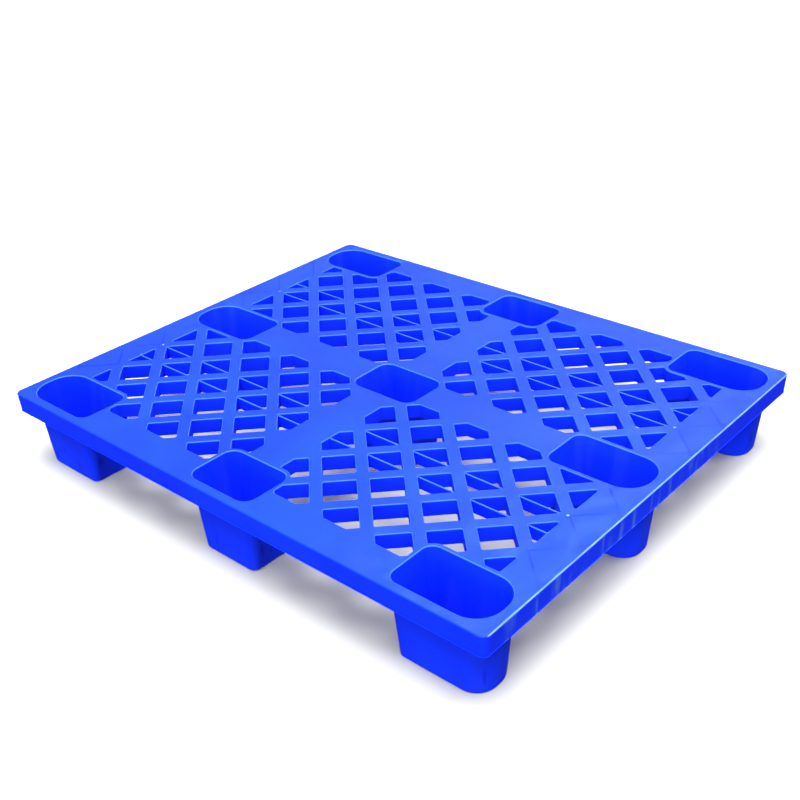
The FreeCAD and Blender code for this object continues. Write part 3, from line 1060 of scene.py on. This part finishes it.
# %% Put the lattice tree together
def cleaned(tree, mesh, given):
    """One closed mesh, mirrored to its place, with the plastic on it."""
    whole = merged(tree, mesh)
    for name in ("aside", "line"):
        whole = add(tree, "GeometryNodeRemoveAttribute", {"Geometry": whole, "Name": name}).outputs[0]
    whole = add(tree, "GeometryNodeTransform", {
        "Geometry": whole, "Scale": given["Mirror"]}).outputs[0]
    whole = add(tree, "GeometryNodeFlipFaces", {
        "Mesh": whole, "Selection": given["Inside out"]}).outputs[0]
    whole = add(tree, "GeometryNodeRealizeInstances", {"Geometry": whole}).outputs[0]
    return add(tree, "GeometryNodeSetMaterial", {
        "Geometry": whole, "Material": given["Plastic"]}).outputs[0]


def lattice_tree():
    tree = bpy.data.node_groups.new("lattice_window", "GeometryNodeTree")
    tree.is_modifier = True
    given = group_input(tree, INPUTS)
    tree.interface.new_socket(name="Window", in_out="OUTPUT", socket_type="NodeSocketGeometry")
    pads = ready_to_grow(tree, given["Pads"])
    panel = slab(tree, given["Panel low"], given["Panel high"], THIN)
    panel = upper_faces(tree, boolean(tree, "DIFFERENCE", panel, thick_pads(tree, pads, 0.0)))
    openings = clipped_openings(tree, given, pads)
    walls, upper_lines = walled(tree, openings, wall_section(tree, given))
    lower_lines = rim_curve(tree, placed(tree, openings, grown_place(tree, given["Wall"], 0.0)))
    parts = plate(tree, given, rim_curve(tree, panel), upper_lines, lower_lines)
    add(tree, "NodeGroupOutput", {"Window": cleaned(tree, joined(tree, walls, *parts), given)})
    return tree


window_nodes = lattice_tree()
print("lattice tree:", len(window_nodes.nodes), "nodes")

# %% [markdown]
# ### Four windows
# The object that carries the nodes holds only the outlines of the four pads beside the
# window, so the lattice keeps clear of whatever pads it is given. Once the nodes have run,
# their result replaces the object's mesh and the modifier goes.

# %% Sizes of a window
OPENING_SIDE = 60.0 * MM
BAR_WIDTH = 23.0 * MM
STEP = (OPENING_SIDE + BAR_WIDTH) / math.sqrt(2)
FRAME_WALL = 3.0 * MM
panel = span("grid_back_right")
window_box = grown(panel, -FRAME_WALL)
BESIDE = (("middle", "centre"), ("middle", "right"), ("back", "centre"), ("back", "right"))
DRAWN = {
    "Step": STEP, "Opening side": OPENING_SIDE,
    "Columns": int(window_box[1] / STEP) + 1, "Rows": int(window_box[3] / STEP) + 1,
    "Opening corner": 3.0 * MM, "Smallest opening": 135.0 * MM * MM,
    "Rim": 2.0 * MM, "Collar": FRAME_WALL, "Depth": 30.0 * MM, "Plate": PLATE, "Top": TOP,
    "Wall": 2.95 * MM,      # a hair under the frame, so that no wall shares an edge with it
    "Window low": (window_box[0], window_box[2], 0),
    "Window high": (window_box[1], window_box[3], 0),
    "Panel low": (panel[0], panel[2], 0), "Panel high": (panel[1], panel[3], 0),
    "Plastic": plastic}
print("window", DRAWN["Columns"], "by", DRAWN["Rows"], "places, one every", round(STEP, 4), "m")

# %% Make the four windows
def pad_faces():
    """The outlines of the four pads beside the back right window, as flat faces."""
    points, faces = [], []
    for row, column in BESIDE:
        radii = [radius + PAD_MARGIN for radius in corner_radii(column)]
        ring = outline(span("leg_{}_{}".format(row, column)), radii, 0.0)
        faces.append(list(range(len(points), len(points) + len(ring))))
        points += ring
    return points, faces


def window(row, column):
    mirror = Vector((-1 if column == "left" else 1, -1 if row == "front" else 1, 1))
    piece = mesh_object("lattice_{}_{}".format(row, column), *pad_faces())
    sizes = {**DRAWN, "Mirror": mirror, "Inside out": mirror.x * mirror.y < 0}
    modifier = piece.modifiers.new("lattice", "NODES")
    modifier.node_group = window_nodes
    for socket in window_nodes.interface.items_tree:
        if socket.in_out == "INPUT" and socket.name in sizes:
            modifier[socket.identifier] = sizes[socket.name]
    plain(piece)
    finish_piece(piece, "grid_{}_{}".format(row, column))


for row in ("front", "back"):
    for column in ("left", "right"):
        window(row, column)

# %% [markdown]
# ## Sections that stay as measured
# The plain bands, the borders and the long ribs are flat plates that lie flush with their
# neighbours. Their measured shape is already right, so they only get the plastic.

# %% Give the remaining sections the plastic
for name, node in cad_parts.items():
    if name.startswith(("border", "band", "long_rib")):
        for place in node.material_slots:
            place.material = plastic
        if not node.material_slots:
            node.data.materials.append(plastic)
        print("finished", name)

# %% [markdown]
# ## Floor
# The floor only has to be plain and pale. It is clear from below, so that the underside of
# the pallet can be looked at too. It sends no light back up, because a bright floor would
# wash out the sides; a dim lower sky stands in for the dull yard such a pallet lives in.

# %% Floor
FLOOR_SIZE = 30.0
FLOOR_GAP = 0.3 * MM        # keeps the floor and the feet from sharing a plane
PALE = 0.35


def pale_floor():
    half = FLOOR_SIZE / 2
    corners = [(-half, -half), (half, -half), (half, half), (-half, half)]
    corners = [(x, y, -FLOOR_GAP) for x, y in corners]
    ground = mesh_object("floor", corners, [(0, 1, 2, 3)])
    material = bpy.data.materials.new("pale_floor")
    material.use_nodes = True
    tree = material.node_tree
    shader = tree.nodes["Principled BSDF"]
    shader.inputs["Base Color"].default_value = (PALE, PALE, PALE, 1)
    shader.inputs["Roughness"].default_value = 0.9
    shader.inputs["Specular IOR Level"].default_value = 0.0
    below = add(tree, "ShaderNodeNewGeometry").outputs["Backfacing"]
    clear = add(tree, "ShaderNodeBsdfTransparent").outputs["BSDF"]
    mix = add(tree, "ShaderNodeMixShader", {"Fac": below})
    tree.links.new(shader.outputs["BSDF"], mix.inputs[1])
    tree.links.new(clear, mix.inputs[2])
    tree.links.new(mix.outputs["Shader"], tree.nodes["Material Output"].inputs["Surface"])
    ground.data.materials.append(material)
    ground.visible_diffuse = False
    ground.visible_glossy = False
    ground.visible_shadow = False
    print("floor", FLOOR_SIZE, "m square")


pale_floor()

# %% [markdown]
# ## Light
# A pallet is a large, low, simple thing, so one broad soft light from overhead shows it
# best: the deck turns pale and the skirts and cups stay deep blue. Weaker lights from the
# front, the back and below open up the shadows. They leave no glare, because a low light that
# mirrors in the satin deck would bleach it. One small panel at the back right draws the
# bright line along the worn shoulder.

# %% Kinds of light
def turned_to(direction):
    """The turn of a light that shines from a direction."""
    return (-Vector(direction)).to_track_quat("-Z", "Y").to_euler()


def sky_light(name, direction, strength, softness):
    """A broad even light from one side, soft enough to leave no glare."""
    light = bpy.data.lights.new(name, "SUN")
    light.energy = strength
    light.angle = math.radians(softness)
    holder = bpy.data.objects.new(name, light)
    holder.rotation_euler = turned_to(direction)
    holder.visible_glossy = False
    bpy.context.scene.collection.objects.link(holder)
    print("light", name, strength)


def softbox(name, place, size, power):
    """A square panel that faces the pallet."""
    light = bpy.data.lights.new(name, "AREA")
    light.shape = "SQUARE"
    light.size = size
    light.energy = power
    holder = bpy.data.objects.new(name, light)
    holder.location = place
    holder.rotation_euler = turned_to(place)
    bpy.context.scene.collection.objects.link(holder)
    print("light", name, power, "W")


print("lights can be set")

# %% Sky
SKY_ABOVE = 0.35
SKY_BELOW = 0.06
HORIZON = (-0.12, 0.03)     # heights on a sky of radius 1 where dim turns to pale


def studio_world():
    """Pale above, dim below, as over a dull yard."""
    world = bpy.data.worlds.new("studio")
    world.use_nodes = True
    tree = world.node_tree
    way = add(tree, "ShaderNodeTexCoord").outputs["Generated"]
    up = add(tree, "ShaderNodeSeparateXYZ", {"Vector": way}).outputs["Z"]
    glow = add(tree, "ShaderNodeMapRange", {
        "Value": up, "From Min": HORIZON[0], "From Max": HORIZON[1],
        "To Min": SKY_BELOW, "To Max": SKY_ABOVE})
    back = tree.nodes["Background"]
    back.inputs["Color"].default_value = (1, 1, 1, 1)
    fill(tree, back.inputs["Strength"], glow.outputs["Result"])
    bpy.context.scene.world = world
    print("sky from", SKY_BELOW, "to", SKY_ABOVE)


studio_world()

# %% Set the lights
sky_light("overhead", direction=(0.10, -0.08, 1.0), strength=12.6, softness=55.0)
sky_light("front_fill", direction=(0.22, -0.97, 0.14), strength=2.6, softness=25.0)
sky_light("back_fill", direction=(-0.50, 0.85, 0.14), strength=1.6, softness=25.0)
sky_light("under_fill", direction=(0.0, 0.0, -1.0), strength=0.8, softness=40.0)
softbox("edge_light", place=(2.9, 3.2, 2.5), size=1.5, power=60.0)
bpy.context.scene.view_settings.view_transform = "Standard"

# %% [markdown]
# ## Camera
# The pallet is seen from the front right corner and from above, as by somebody who walks
# up to it. The angle, the distance and the length of the lens are chosen together: a longer
# lens from further away would flatten the deck, and a nearer one would splay its corners.

# %% Camera
CAMERA_PLACE = Vector((1.3377, -1.4687, 1.2343))
CAMERA_AIM = Vector((0.0520, -0.0510, 0.158))
CAMERA_ROLL = math.radians(-2.6)
CAMERA_LENS = 50.53
CAMERA_SENSOR = 36.0

camera_data = bpy.data.cameras.new("camera")
camera_data.lens = CAMERA_LENS
camera_data.sensor_width = CAMERA_SENSOR
camera = bpy.data.objects.new("camera", camera_data)
camera.rotation_mode = "QUATERNION"
camera.location = CAMERA_PLACE
look = (CAMERA_AIM - CAMERA_PLACE).to_track_quat("-Z", "Y")
camera.rotation_quaternion = look @ Quaternion((0, 0, 1), CAMERA_ROLL)
bpy.context.scene.collection.objects.link(camera)
bpy.context.scene.camera = camera
print("camera", round((CAMERA_AIM - CAMERA_PLACE).length, 2), "m from the deck")
